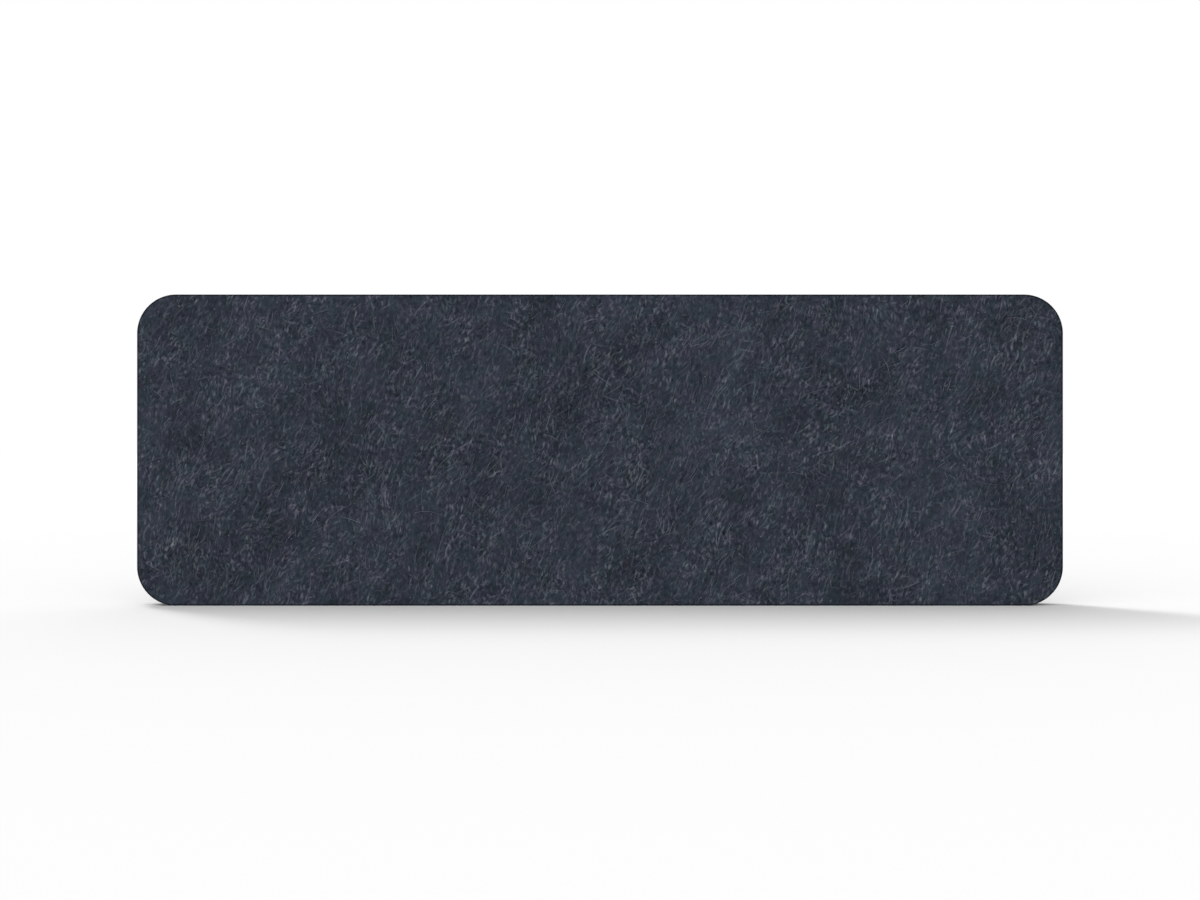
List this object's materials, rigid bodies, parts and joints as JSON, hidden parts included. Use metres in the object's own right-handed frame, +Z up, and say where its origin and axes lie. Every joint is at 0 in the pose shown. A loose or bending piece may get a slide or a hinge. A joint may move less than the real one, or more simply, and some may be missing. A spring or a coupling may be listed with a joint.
{
  "type": "desk divider screen",
  "caption": "Upright acoustic desk screen with rounded corners: felt face sheets and edge band over a dowelled plywood frame with fibre batts and bracket inserts.",
  "frame": {"origin": "middle of the bottom edge, half way through the thickness", "axes": "+X along the width to the right, +Y from the front face to the back, +Z up"},
  "size_m": [1.19, 0.03, 0.4],
  "materials": {
    "face_felt": "needle-punched felt, dark slate melange, cut edges",
    "band_felt": "needle-punched felt strip, dark slate melange",
    "plywood": "birch plywood, sanded and unvarnished",
    "fibre_batt": "soft polyester fibre batt",
    "beech": "turned and fluted beech",
    "zinced_steel": "zinc-plated steel"
  },
  "bodies": {
    "root": {"front_felt": "face_felt", "rear_felt": "face_felt", "edge_band": "band_felt", "bottom_rail": "plywood", "top_rail": "plywood", "left_stile": "plywood", "right_stile": "plywood", "bottom_left_corner": "plywood", "bottom_right_corner": "plywood", "top_left_corner": "plywood", "top_right_corner": "plywood", "left_post": "plywood", "right_post": "plywood", "left_batt": "fibre_batt", "centre_batt": "fibre_batt", "right_batt": "fibre_batt", "corner_dowels": "beech", "post_dowels": "beech", "left_inserts": "zinced_steel", "right_inserts": "zinced_steel"}
  },
  "joints": []
}
